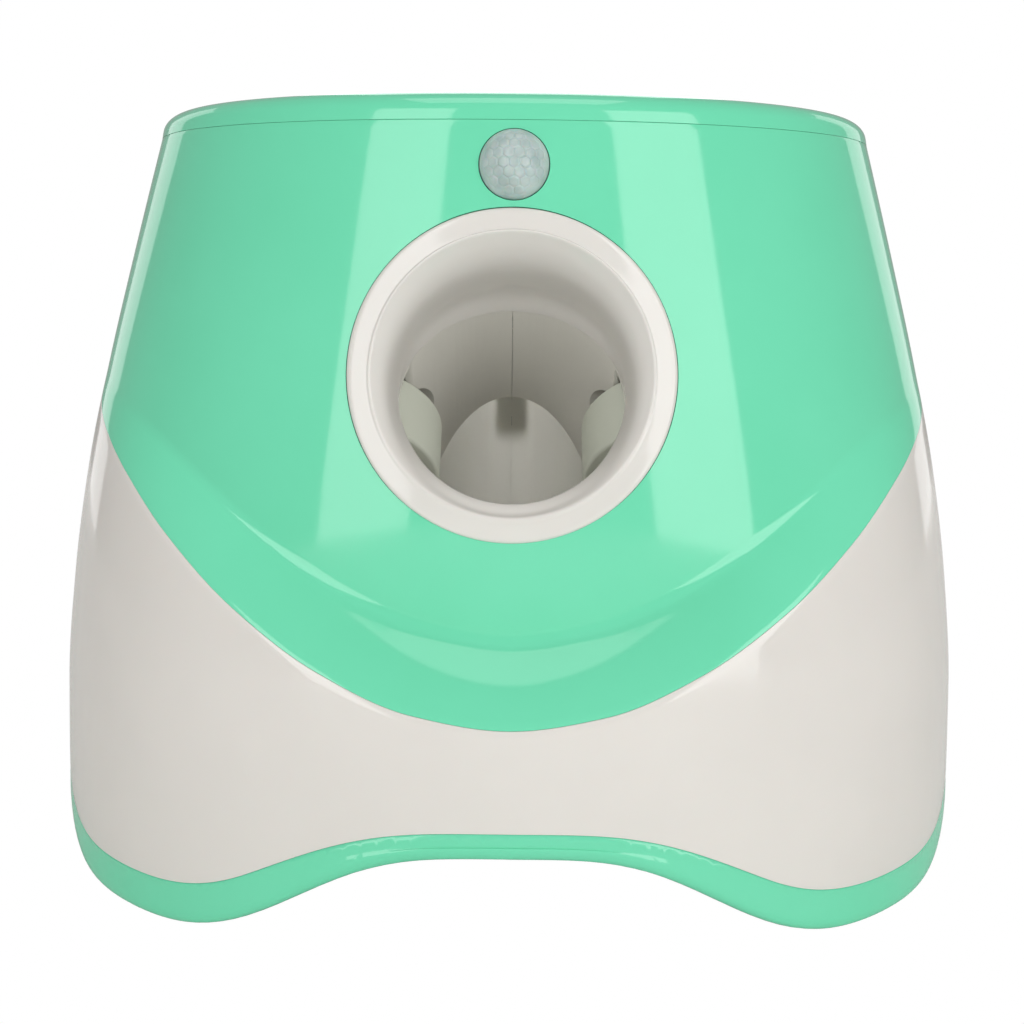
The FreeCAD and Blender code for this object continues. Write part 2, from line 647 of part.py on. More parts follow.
def make_pir_lens():
    axis, seat = SENSOR_OUT, SENSOR_SEAT
    dome_radius = PIR_RADIUS * 1.12
    rise = math.sqrt(dome_radius**2 - PIR_RADIUS**2)
    centre = seat - axis * rise + axis * 0.3
    ball = Part.makeSphere(dome_radius, centre).cut(Part.makeSphere(dome_radius - 0.9, centre))
    front = Part.makeCylinder(PIR_RADIUS, 12, seat, axis)
    dome = ball.common(front)
    sleeve = Part.makeCylinder(PIR_RADIUS, 5, seat - axis * 4.6, axis)
    sleeve = sleeve.cut(Part.makeCylinder(PIR_RADIUS - 1.1, 5, seat - axis * 4.6, axis))
    flange = Part.makeCylinder(PIR_RADIUS + 1.2, 1.2, seat - axis * 5.2, axis)
    flange = flange.cut(Part.makeCylinder(PIR_RADIUS - 1.1, 1.2, seat - axis * 5.2, axis))
    return dome.fuse(sleeve).fuse(flange)


keep("sensor_lens", make_pir_lens())
keep("sensor_board", box(-10.9, 10.9, -92.5, -90.9, PIR_Z - 12, PIR_Z + 8))
keep("sensor_element", cylinder(4.6, (0, -92.55, PIR_Z), (0, -1, 0), 4.2))
keep("sensor_bracket", one([box(-13, -11, -100.6, -90.85, PIR_Z - 6, PIR_Z + 5),
                            box(11, 13, -100.6, -90.85, PIR_Z - 6, PIR_Z + 5),
                            box(-13, 13, -90.85, -89.2, PIR_Z - 6, PIR_Z + 5)]))

# Battery bay, opened from below by a door that slides to the rear


def make_battery_tray():
    outer = rounded_box(-BAY_HALF_X - 2, BAY_HALF_X + 2, BAY_Y0 - 2, BAY_Y1 + 2, FLOOR_HIGH + 0.05, BAY_TOP, 3)
    hollow = box(-BAY_HALF_X, BAY_HALF_X, BAY_Y0, BAY_Y1, FLOOR_HIGH - 1, BAY_TOP - 2)
    tray = outer.cut(hollow)
    for side in (-1, 1):
        rib = box(side * 13.7 - 0.6, side * 13.7 + 0.6, BAY_Y0 - 0.5, BAY_Y1 + 0.5, 44, BAY_TOP - 1)
        tray = tray.fuse(rib)
    return tray


keep("battery_tray", make_battery_tray())


def make_battery_door():
    plate = rounded_box(-BAY_HALF_X - 3.2, BAY_HALF_X + 3.2, BAY_Y0 - 3, BAY_Y1 + 3, 27.8, 30.7, 2)
    grip = Part.makeCompound([box(-12, 12, y, y + 1.4, 27.0, 28.4) for y in (86, 89, 92, 95)])
    return plate.cut(grip)


keep("battery_door", make_battery_door())

contact_plates = []
for k in (-1, 0, 1):
    for y in (BAY_Y0 + 0.05, BAY_Y1 - 0.55):
        contact_plates.append(box(k * 27.3 - 8, k * 27.3 + 8, y, y + 0.5, 38, 56))
keep("battery_contacts", Part.makeCompound(contact_plates))

# Main board on its stand beside the battery bay
board_posts = [cylinder(3.0, (-66 - dx, 38 + dy, FLOOR_HIGH + 0.02), (0, 0, 1), 8) for dx in (0, 28) for dy in (0, 44)]
keep("board_posts", Part.makeCompound(board_posts))
keep("main_board", box(-99, -61, 33, 87, FLOOR_HIGH + 8.05, FLOOR_HIGH + 9.65))
board_top = FLOOR_HIGH + 9.7
keep("board_components", Part.makeCompound([
    box(-86, -74, 54, 66, board_top, board_top + 2),
    box(-95, -83, 76, 84, board_top, board_top + 7),
    cylinder(5, (-68, 76, board_top), (0, 0, 1), 16),
    cylinder(4, (-68, 62, board_top), (0, 0, 1), 12),
    box(-96, -88, 40, 52, board_top, board_top + 6)]))

# Controls on the back: plate, two buttons, their switches and board, three lamps


def make_control_panel():
    plate = panel_block(0.0, -PANEL_DEPTH, PANEL_PROUD)
    plate = plate.cut(panel_block(2.0, -PANEL_DEPTH - 1, PANEL_PROUD - 3.0))
    plate = plate.cut(Part.makeCompound([
        cylinder(BUTTON_RADIUS + 0.3, (sx * BUTTON_X, -4, 0), (0, 1, 0), 8) for sx in (-1, 1)]))
    plate = plate.cut(Part.makeCompound([
        cylinder(1.62, (0, -4, z), (0, 1, 0), 8) for z in (-7, 0, 7)]))
    return on_panel(plate)


keep("control_panel", make_control_panel())
for label, sx in (("power_button", -1), ("distance_button", 1)):
    cap = cylinder(BUTTON_RADIUS, (sx * BUTTON_X, -3.4, 0), (0, 1, 0), 6.8)
    crown = [e for e in cap.Edges if e.BoundBox.YMin > 3.3]
    cap = cap.makeFillet(1.0, crown)
    stem = cylinder(2.0, (sx * BUTTON_X, -5.4, 0), (0, 1, 0), 2.4)
    keep(label, on_panel(cap.fuse(stem)))
keep("status_lamps", on_panel(Part.makeCompound([
    cylinder(1.55, (0, -6.5, z), (0, 1, 0), 8.4) for z in (-7, 0, 7)])))
keep("control_board", on_panel(box(-30, 30, -11.1, -9.6, -12, 12)))
keep("button_switches", on_panel(Part.makeCompound([
    box(sx * BUTTON_X - 3, sx * BUTTON_X + 3, -9.55, -6.8, -3, 3) for sx in (-1, 1)])))
keep("panel_frame", on_panel(one([
    box(-PANEL_HALF_X - 3, PANEL_HALF_X + 3, -13.0, -11.15, -13.5, 13.5),
    box(-33.0, -30.2, -11.2, -3.4, -9.0, 9.0),
    box(30.2, 33.0, -11.2, -3.4, -9.0, 9.0)])))

# Sound and power inlet
keep("speaker", one([
    Part.makeCone(9.0, 15.0, 7.0, V(-62, 96.5, 84), V(0, 1, 0)),
    cylinder(9.0, (-62, 91.0, 84), (0, 1, 0), 5.6),
    cylinder(16.0, (-62, 103.4, 84), (0, 1, 0), 1.6)]))
speaker_mount = box(-78, -46, 101.5, 103.2, FLOOR_HIGH + 0.02, 101)
keep("speaker_mount", speaker_mount.cut(cylinder(15.2, (-62, 90, 84), (0, 1, 0), 20)))


INLET_AT, INLET_OUT = wall_frame(INLET_TURN, INLET_Z)


def make_power_inlet():
    def barrel(r, low, high):
        return Part.makeCylinder(r, high - low, INLET_AT + INLET_OUT * low, INLET_OUT)

    shell = barrel(INLET_RADIUS, -14, 1.0).fuse(barrel(INLET_RADIUS + 2, 0.5, 2.0))
    return shell.cut(barrel(3.2, -9, 3)).fuse(barrel(1.0, -10, -0.5))


keep("power_inlet", make_power_inlet())

# Screws that hold the body to the base, up through the foot columns' inner side
base_screws = []
for sx in (-1, 1):
    for sy in (-1, 1):
        base_screws.append(screw((sx * SCREW_X, sy * SCREW_Y, FLOOR_LOW - 0.02), (0, 0, 1), 1.8, 3.4, 14))
keep("base_screws", Part.makeCompound(base_screws))
base_holes = Part.makeCompound([cylinder(1.9, (sx * SCREW_X, sy * SCREW_Y, 20), (0, 0, 1), 30)
                                for sx in (-1, 1) for sy in (-1, 1)])
parts["base_tray"] = parts["base_tray"].cut(base_holes)
bosses = []
for sx in (-1, 1):
    for sy in (-1, 1):
        boss = cylinder(4.5, (sx * SCREW_X, sy * SCREW_Y, FLOOR_HIGH + 0.05), (0, 0, 1), 20)
        bosses.append(boss.cut(cylinder(1.85, (sx * SCREW_X, sy * SCREW_Y, 20), (0, 0, 1), 29)))
keep("body_bosses", Part.makeCompound(bosses))

os.makedirs("parts", exist_ok=True)
for name, shape in parts.items():
    for solid in shape.Solids:
        if not solid.isValid() or solid.Volume <= 0:
            print("CHECK", name, "solid not valid")
    if not shape.Solids:
        print("CHECK", name, "has no solid")
    whole = shape.Solids[0] if len(shape.Solids) == 1 else Part.makeCompound(shape.Solids)
    whole.exportStep("parts/" + name + ".step")
    print(name, len(shape.Solids), round(shape.Volume / 1000, 2), "cm3")
print(len(parts), "nodes")
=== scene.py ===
import json
import math

import bmesh
import bpy
import numpy as np
from mathutils import Matrix, Vector


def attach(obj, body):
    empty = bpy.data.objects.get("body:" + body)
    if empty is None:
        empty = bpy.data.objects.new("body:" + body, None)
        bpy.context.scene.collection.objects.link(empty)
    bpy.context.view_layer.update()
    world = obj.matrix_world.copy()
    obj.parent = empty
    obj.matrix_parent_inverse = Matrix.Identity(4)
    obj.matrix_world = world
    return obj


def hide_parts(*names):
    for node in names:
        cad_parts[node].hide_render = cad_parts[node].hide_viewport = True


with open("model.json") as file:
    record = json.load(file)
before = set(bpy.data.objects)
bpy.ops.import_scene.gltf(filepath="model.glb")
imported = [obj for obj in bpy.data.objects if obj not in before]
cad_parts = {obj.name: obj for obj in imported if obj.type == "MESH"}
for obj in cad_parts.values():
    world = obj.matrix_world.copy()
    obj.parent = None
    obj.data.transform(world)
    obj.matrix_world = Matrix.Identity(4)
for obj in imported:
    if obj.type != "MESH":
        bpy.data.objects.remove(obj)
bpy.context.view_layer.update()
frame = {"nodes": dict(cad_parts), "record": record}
MM = 0.001

# Sizes are in millimetres and angles in degrees; lamps, floor and camera have their places in metres

# Body: half width by height, and the squareness of its outline at the floor and at the rim
BODY_PROFILE = [(0, 131.8), (20, 132.0), (50, 131.6), (80, 129.2), (110, 124.9),
                (140, 118.5), (170, 111.1), (200, 103.3), (210, 100.6)]
SQUARENESS_LOW, SQUARENESS_HIGH = 2.46, 2.21
RIM_Z = 200.0
WALL, STEP_IN = 2.5, 2.9

# Feet, the arches between them, and the green band above
FOOT_GAP, ARCH_RISE = 1.5, 25.8
ARCH_BEND, ARCH_BEND_AT = 1.85, 0.465
BAND_MIDDLE, BAND_FOOT, BAND_SPREAD = 6.7, 4.3, 1.5

# Green shield: its lower edge and the crease above that by heading, and how deep its front stands in
SHIELD_EDGE = [(0, 59.0), (10, 62.2), (20, 71.2), (30, 84.5), (40, 99.5), (50, 113.0), (60, 122.5),
               (75, 132.0), (100, 146.0), (130, 163.0), (155, 175.0), (180, 179.0)]
CREASE_RISE = [(0, 16.5), (10, 16.5), (20, 15.5), (30, 14.8), (40, 14.0), (50, 11.5), (60, 8.0),
               (75, 5.0), (100, 4.0), (130, 3.5), (155, 3.5), (180, 3.5)]
CREASE_EASE, EASE_STEPS = 1.5, 7
FRONT_INSET, INSET_REACH = 16.0, 75.0
INSET_STRAIGHT, INSET_CURVED = 0.72, 0.28
SHIELD_TOP = 201.0

# Joints between the shells: the gap, the tongue behind it, and the rounding of the edges
SEAM, TONGUE, TONGUE_ROOT = 0.04, 5.0, 0.8
SEAM_ROUND, EDGE_ROUND = 0.12, 0.15
EDGE_LAND, TOP_LAND = 0.6, 0.8

# Muzzle ring, its lip and the barrel
RING_Y, RING_Z, RING_TILT = -107.9, 140.5, 4.4
RING_RADIUS, RING_GAP, RING_PROUD = 40.0, 0.14, 0.7
RING_ROUND, RING_SKIRT, RING_WAIST, RING_WALL = 0.8, 8.0, 3.0, 2.5
LIP_RADIUS, LIP_FLAT, LIP_OUTER, LIP_INNER, LIP_DROP = 34.0, 2.0, 1.2, 0.2, 0.25
BEND_Y, BEND_Z, BEND_RADIUS, BEND_LEAN = -104.7, 137.1, 30.4, 12.7
BORE, BORE_WALL, BARREL_ELEVATION = 28.5, 2.4, 40.0
BARREL_MOUTH = (-91.0, 133.0)

# Bore of the lip along the barrel: its start at the top, its further depth at the foot, and its end
BORE_START, BORE_START_RUN, BORE_START_POWER = -9.0, 12.0, 1.2
BORE_END_TOP, BORE_END_MIDDLE, BORE_END_RUN, BORE_LEAST = -0.05, -10.4, 20.4, 1.5

# Sensor dome and its cells
SENSOR_Y, SENSOR_Z, SENSOR_RADIUS, SENSOR_GAP = -104.2, 190.5, 8.3, 0.25
DOME_RATIO, LENS_SEAT, LENS_RIM = 1.12, 0.25, 1.0
LENS_PITCH, LENS_BORDER, LENS_GROOVE, LENS_CUP = 2.7, 0.9, 0.20, 0.05
LENS_CELLS, LENS_RINGS, LENS_SIDES = 6, 90, 240
FLANGE, FLANGE_FRONT, FLANGE_BACK, FLANGE_WALL = 1.1, 4.4, 5.4, 1.2

# Openings in the back: the leaning control panel, the power inlet and the sound holes
PANEL_Z, PANEL_TILT = 132.0, 13.5
PANEL_HOLE_X, PANEL_HOLE_Z, PANEL_CORNER = 37.2, 16.2, 9.2
PANEL_CUT_IN, PANEL_CUT_OUT = -20, 12
INLET_TURN, INLET_Z, INLET_RADIUS = 160.0, 66.0, 6.15
SOUND_AT, SOUND_PITCH, SOUND_RADIUS = (-62, 105, 84), 5.2, 1.5
SOUND_ROWS = 5
HEX_ROW = math.sqrt(0.75)

# How far a round cutter reaches each way from its middle
RING_CUT, SENSOR_CUT, INLET_CUT, SOUND_CUT = 30, 20, 20, 45

# Hopper rings: height, half width, squareness and middle along Y
RIM = SQUARENESS_HIGH
HOPPER_HEM = [(201.1, 100.8, RIM, 0), (201.1, 102.7, RIM, 0)]
HOPPER_TOP = [(201.14, 102.85, RIM, 0), (201.3, 103.0, RIM, 0), (204.2, 102.3, RIM, 0),
              (206.3, 100.5, RIM, 0), (207.6, 97.8, RIM, 0), (207.98, 94.8, RIM, 0),
              (207.2, 91.9, RIM, 0), (205.0, 89.3, RIM, 0), (196.5, 74.0, 2.15, -4),
              (186.5, 53.0, 2.08, -10), (178.0, 36.0, 2.0, -15), (174.0, 28.0, 2.0, -16)]
HOPPER_NECK = [(173.4, 27.6, 2.0, -16), (170.5, 27.5, 2.0, -16), (170.5, 30.1, 2.0, -16)]
HOPPER_UNDER = [(170.9, 30.4, 2.0, -16), (175.6, 38.0, 2.0, -15), (183.8, 54.4, 2.08, -10),
                (193.8, 75.9, 2.15, -4), (202.4, 90.9, RIM, 0), (204.3, 97.2, RIM, 0)]

# How finely the surfaces are divided, and how sharp an edge has to be to stay hard
TURN = np.linspace(0, 2 * np.pi, 512, endpoint=False)
QUARTER = np.radians([0, 22.5, 45, 67.5, 90])
SHARP, SOLID_SHARP, RING_SHARP, LENS_SHARP = 35.0, 32.0, 40.0, 50.0
MERGE_DISTANCE = 0.001

# First guess, mean radius and number of steps of the search for a heading
GUESS_RADIUS, GUESS_LIMIT, MEAN_RADIUS, SEARCH_STEPS = 130.0, 0.9, 115.0, 12


# Surface formulas

def smooth_curve(points, x):
    """Cubic through the points that keeps their shape: a slope is the harmonic mean of its two chords."""
    px, py = np.array(points, float).T
    width = np.diff(px)
    step = np.diff(py) / width
    slope = np.zeros(len(px))
    same = step[:-1] * step[1:] > 0
    slope[1:-1][same] = 2 * step[:-1][same] * step[1:][same] / (step[:-1][same] + step[1:][same])
    slope[-1] = step[-1]
    x = np.clip(x, px[0], px[-1])
    k = np.clip(np.searchsorted(px, x, side="right") - 1, 0, len(px) - 2)
    w = width[k]
    t = (x - px[k]) / w
    return ((2 * t**3 - 3 * t**2 + 1) * py[k] + (t**3 - 2 * t**2 + t) * w * slope[k]
            + (3 * t**2 - 2 * t**3) * py[k + 1] + (t**3 - t**2) * w * slope[k + 1])


def between(low, high, share):
    """Straight blend of two values or rings."""
    return low + (high - low) * share


def heading(p):
    """Angle from the front, folded to 0 to 180 degrees."""
    turn = np.degrees(p) % 360
    return np.minimum(turn, 360 - turn)


def low_edge(p):
    """Foot of the base: squared cosine of twice the heading, bent by a cubic that widens crown and feet."""
    t = np.cos(2 * p) ** 2
    return FOOT_GAP + ARCH_RISE * (t + ARCH_BEND * t * (1 - t) * (t - ARCH_BEND_AT))


def band_edge(p):
    """Top of the green band, whose height grows by a smooth step from mid-side to foot."""
    s = np.minimum(1.0, BAND_SPREAD * np.sin(2 * p) ** 2)
    return low_edge(p) + BAND_MIDDLE + BAND_FOOT * s * s * (3 - 2 * s)


def shield_edge(p):
    """Lower edge of the shield: a smooth curve of the heading."""
    return smooth_curve(SHIELD_EDGE, heading(p))


def crease(p):
    """Crease of the shield: its edge plus a rise that is a smooth curve of the heading."""
    return shield_edge(p) + smooth_curve(CREASE_RISE, heading(p))


def inset(p, z):
    """Depth of the shield's front behind the plain profile: none at its edge and top, all at the crease."""
    turn = heading(p)
    deepest = FRONT_INSET * np.cos(np.radians(np.minimum(90 * turn / INSET_REACH, 90))) ** 2
    edge, fold = shield_edge(p), crease(p)
    t = np.clip((z - edge) / (fold - edge), 0, 1)
    rise = INSET_STRAIGHT * t + INSET_CURVED * t * t
    fall = np.clip((SHIELD_TOP - z) / (SHIELD_TOP - fold), 0, 1)
    return deepest * np.where(z < fold, rise, fall)


def eased_inset(p, z):
    """The same depth averaged over heights just above and below, which rounds the crease."""
    edge = shield_edge(p)
    shifts = np.linspace(-CREASE_EASE, CREASE_EASE, EASE_STEPS)
    return sum(inset(p, np.maximum(z + shift, edge)) for shift in shifts) / EASE_STEPS


def skin(p, z, depth=0.0):
    """Body surface: a rounded square whose half width follows the profile, depth mm inside."""
    p, z = np.broadcast_arrays(p, np.asarray(z, float))
    n = SQUARENESS_LOW + (SQUARENESS_HIGH - SQUARENESS_LOW) * np.minimum(z, RIM_Z) / RIM_Z
    s, c = np.sin(p), np.cos(p)
    spread = (np.abs(s) ** n + np.abs(c) ** n) ** (-1 / n)
    r = (smooth_curve(BODY_PROFILE, z) - eased_inset(p, z) - depth) * spread
    return np.stack([r * s, -r * c, z], -1)


def skin_at(x, z, depth):
    """Point of the front surface above a given x, found by turning the heading until x fits."""
    p = np.arcsin(np.clip(x / GUESS_RADIUS, -GUESS_LIMIT, GUESS_LIMIT))
    for _ in range(SEARCH_STEPS):
        p = p + (x - skin(p, z, depth)[..., 0]) / MEAN_RADIUS
    return skin(p, z, depth)


def barrel_point(x, s, m):
    """Barrel coordinates: x sideways, s inwards along its axis, m square to it."""
    e = math.radians(BARREL_ELEVATION)
    return np.stack(np.broadcast_arrays(
        x, BARREL_MOUTH[0] + s * math.cos(e) + m * math.sin(e),
        BARREL_MOUTH[1] - s * math.sin(e) + m * math.cos(e)), -1)


def panel_point(x, out, up):
    """Panel coordinates: x sideways, out of the leaning back wall, up along it."""
    t = math.radians(PANEL_TILT)
    foot = np.array([0, float(smooth_curve(BODY_PROFILE, PANEL_Z)), PANEL_Z])
    return foot + np.stack(np.broadcast_arrays(
        x, out * math.cos(t) - up * math.sin(t), out * math.sin(t) + up * math.cos(t)), -1)


def wall_frame(turn, z):
    """Point of the outer skin at a heading, and the way out there, found from points just beside it."""
    p, aside, above = math.radians(turn), 0.01, 1.0
    headings = np.array([p, p - aside, p + aside, p, p])
    here, left, right, low, high = skin(headings, np.array([z, z, z, z - above, z + above]))
    out = np.cross(right - left, high - low)
    return here, out / np.linalg.norm(out)


def through(rows, count):
    """Rows spread smoothly through a few key rows by a Catmull-Rom curve."""
    rows = np.array(rows, float)
    padded = np.concatenate([[2 * rows[0] - rows[1]], rows, [2 * rows[-1] - rows[-2]]])
    out = []
    for k in range(len(rows) - 1):
        a, b, c, d = padded[k:k + 4]
        for t in np.linspace(0, 1, count, endpoint=False):
            out.append(0.5 * (2 * b + (c - a) * t + (2 * a - 5 * b + 4 * c - d) * t**2
                              + (3 * b - a - 3 * c + d) * t**3))
    out.append(rows[-1])
    return out


def frame_for(axis):
    """An axis at length 1 and two directions square to it, for any axis that isn't upright."""
    axis = np.asarray(axis, float) / np.linalg.norm(axis)
    side = np.cross(axis, [0, 0, 1])
    side /= np.linalg.norm(side)
    return axis, side, np.cross(axis, side)


# Mesh building

def shade_smooth(mesh, sharp):
    """Smooth shading, but for edges sharper than an angle."""
    mesh.polygons.foreach_set("use_smooth", np.ones(len(mesh.polygons), bool))
    mesh.set_sharp_from_angle(angle=math.radians(sharp))


def place(name, data):
    """Object in the scene for a mesh, a lamp or a camera."""
    thing = bpy.data.objects.new(name, data)
    bpy.context.scene.collection.objects.link(thing)
    return thing


def closed_piece(name, points, faces, sharp):
    """Closed piece from points and faces, with its faces turned outwards."""
    mesh = bpy.data.meshes.new(name)
    mesh.from_pydata((np.asarray(points) * MM).tolist(), [], faces)
    mesh.validate()
    shade_smooth(mesh, sharp)
    work = bmesh.new()
    work.from_mesh(mesh)
    bmesh.ops.recalc_face_normals(work, faces=work.faces)
    work.to_mesh(mesh)
    work.free()
    return place(name, mesh)


def ring_faces(rows, columns, closed):
    """Quads between neighbouring rings of points, and from the last ring to the first if closed."""
    i = np.arange(rows if closed else rows - 1)
    i, j = np.meshgrid(i, np.arange(columns), indexing="ij")
    ni, nj = (i + 1) % rows, (j + 1) % columns
    quads = np.stack([i * columns + j, i * columns + nj, ni * columns + nj, ni * columns + j], -1)
    return quads.reshape(-1, 4).tolist()


def loop_piece(name, rows, sharp=SHARP):
    """Closed shell from rings of points, the last ring joined to the first."""
    rows = np.asarray(rows)
    faces = ring_faces(rows.shape[0], rows.shape[1], True)
    return closed_piece(name, rows.reshape(-1, 3), faces, sharp)


def capped_piece(name, rows, sharp=SHARP):
    """Closed body from a stack of rings, each end closed by a fan to its middle."""
    rows = np.asarray(rows)
    count, columns = rows.shape[:2]
    points = np.concatenate([rows.reshape(-1, 3), [rows[0].mean(0)], [rows[-1].mean(0)]])
    j = np.arange(columns)
    nj = (j + 1) % columns
    last = (count - 1) * columns
    first_fan = np.stack([nj, j, np.full(columns, count * columns)], -1)
    last_fan = np.stack([last + j, last + nj, np.full(columns, count * columns + 1)], -1)
    faces = ring_faces(count, columns, False) + first_fan.tolist() + last_fan.tolist()
    return closed_piece(name, points, faces, sharp)


def rod(name, middle, axis, reach, radius, sides=96):
    """Cylinder: a circle carried along an axis, as far each way from its middle."""
    axis, side, up = frame_for(axis)
    t = np.linspace(0, 2 * np.pi, sides, endpoint=False)[:, None]
    ring = radius * (np.cos(t) * side + np.sin(t) * up)
    return capped_piece(name, [np.asarray(middle) + shift * axis + ring for shift in (-reach, reach)])


def cut(piece, cutters):
    """Take the cutters' shapes out of a piece, then delete them."""
    for cutter in cutters:
        hole = piece.modifiers.new("hole", "BOOLEAN")
        hole.operation = "DIFFERENCE"
        hole.solver = "EXACT"
        hole.object = cutter
    bpy.context.view_layer.update()
    seen = piece.evaluated_get(bpy.context.evaluated_depsgraph_get())
    mesh = bpy.data.meshes.new_from_object(seen)
    piece.modifiers.clear()
    uncut = piece.data
    piece.data = mesh
    bpy.data.meshes.remove(uncut)
    shade_smooth(mesh, SHARP)
    for cutter in cutters:
        shape = cutter.data
        bpy.data.objects.remove(cutter)
        bpy.data.meshes.remove(shape)


# Materials: patches, grains, reliefs and the reach of light inside are sizes in millimetres

TONE_PATCH, GLOSS_PATCH, METAL_PATCH = 55.56, 33.33, 16.67
LENS_PATCH, LAMP_PATCH = 4.545, 3.333
LENS_CLOUD, LENS_CLOUD_DEPTH = 1.111, 0.01
LIGHT_REACH = 2.0
TONE_STOPS = (0.35, 0.65)
GLOSS_FROM, GLOSS_TO = 0.3, 0.7
TONE_DETAIL, GLOSS_DETAIL, SKIN_DETAIL = 3.0, 4.0, 2.0
MOULDED_DRIFT, METAL_DRIFT = (0.85, 1.2), (0.7, 1.3)
STREAK_SQUEEZE = (1.0, 1.0, 12.0)
WHITE = (1, 1, 1, 1)


def linear(code):
    """sRGB hex to linear."""
    parts = [int(code[i:i + 2], 16) / 255 for i in (1, 3, 5)]
    return [c / 12.92 if c <= 0.04045 else ((c + 0.055) / 1.055) ** 2.4 for c in parts] + [1.0]


def add(tree, kind, links=None, **settings):
    """Add a node: settings by input name or property, links as input name to output socket."""
    node = tree.nodes.new(kind)
    for key, value in settings.items():
        label = key.replace("_", " ")
        if label in node.inputs:
            node.inputs[label].default_value = value
        else:
            setattr(node, key, value)
    for key, socket in (links or {}).items():
        tree.links.new(socket, node.inputs[key])
    return node


def start_material(name):
    """Empty material with its node tree and its object-space coordinates."""
    material = bpy.data.materials.new(name)
    material.use_nodes = True
    tree = material.node_tree
    tree.nodes.clear()
    return material, tree, add(tree, "ShaderNodeTexCoord").outputs["Object"]


def two_tone(tree, where, patch, low, high):
    """Noise in object space mapped between two colours."""
    noise = add(tree, "ShaderNodeTexNoise", {"Vector": where}, Scale=1 / (patch * MM), Detail=TONE_DETAIL)
    ramp = add(tree, "ShaderNodeValToRGB", {"Fac": noise.outputs["Fac"]})
    for stop, position, code in zip(ramp.color_ramp.elements, TONE_STOPS, (low, high)):
        stop.position = position
        stop.color = linear(code)
    return ramp.outputs["Color"]


def drifting_gloss(tree, where, patch, roughness, drift):
    """Noise in object space mapped between two shares of a roughness."""
    noise = add(tree, "ShaderNodeTexNoise", {"Vector": where}, Scale=1 / (patch * MM), Detail=GLOSS_DETAIL)
    level = add(tree, "ShaderNodeMapRange", {"Value": noise.outputs["Fac"]}, From_Min=GLOSS_FROM,
                From_Max=GLOSS_TO, To_Min=roughness * drift[0], To_Max=roughness * drift[1])
    return level.outputs["Result"]


def mould_skin(tree, where, grain, depth):
    """Fine relief that a mould leaves: noise in object space as height."""
    noise = add(tree, "ShaderNodeTexNoise", {"Vector": where}, Scale=1 / (grain * MM), Detail=SKIN_DETAIL)
    bump = add(tree, "ShaderNodeBump", {"Height": noise.outputs["Fac"]}, Strength=1.0, Distance=depth * MM)
    return bump.outputs["Normal"]


def moulded(name, low, high, roughness, grain, depth, subsurface=0.0):
    """Moulded plastic or rubber: slight tone drift, drifting gloss and a fine relief."""
    material, tree, where = start_material(name)
    links = {"Base Color": two_tone(tree, where, TONE_PATCH, low, high),
             "Roughness": drifting_gloss(tree, where, GLOSS_PATCH, roughness, MOULDED_DRIFT),
             "Normal": mould_skin(tree, where, grain, depth)}
    shader = add(tree, "ShaderNodeBsdfPrincipled", links, IOR=1.5,
                 Subsurface_Weight=subsurface, Subsurface_Scale=LIGHT_REACH * MM)
    add(tree, "ShaderNodeOutputMaterial", {"Surface": shader.outputs[0]})
    return material


def metal(name, low, high, roughness, streak):
    """Plated or ground metal: tone and gloss squeezed along Z into fine streaks."""
    material, tree, where = start_material(name)
    squeezed = add(tree, "ShaderNodeMapping", {"Vector": where}, Scale=STREAK_SQUEEZE).outputs[0]
    links = {"Base Color": two_tone(tree, squeezed, METAL_PATCH, low, high),
             "Roughness": drifting_gloss(tree, squeezed, streak, roughness, METAL_DRIFT)}
    shader = add(tree, "ShaderNodeBsdfPrincipled", links, Metallic=1.0)
    add(tree, "ShaderNodeOutputMaterial", {"Surface": shader.outputs[0]})
    return material


def lens_material():
    """Moulded polyethylene of the sensor dome: milky, lets a little light through."""
    material, tree, where = start_material("lens_polyethylene")
    links = {"Base Color": two_tone(tree, where, LENS_PATCH, "#A7B9B7", "#BCCBC9"),
             "Normal": mould_skin(tree, where, LENS_CLOUD, LENS_CLOUD_DEPTH)}
    shader = add(tree, "ShaderNodeBsdfPrincipled", links, Roughness=0.22, IOR=1.51,
                 Subsurface_Weight=0.35, Subsurface_Scale=LIGHT_REACH * MM)
    add(tree, "ShaderNodeOutputMaterial", {"Surface": shader.outputs[0]})
    return material


def lamp_material():
    """Clear acrylic of the light pipes, unlit."""
    material, tree, where = start_material("lamp_acrylic")
    links = {"Base Color": two_tone(tree, where, LAMP_PATCH, "#D9EDE3", "#E6F5ED")}
    shader = add(tree, "ShaderNodeBsdfPrincipled", links, Roughness=0.08, IOR=1.49, Transmission_Weight=0.4)
    add(tree, "ShaderNodeOutputMaterial", {"Surface": shader.outputs[0]})
    return material


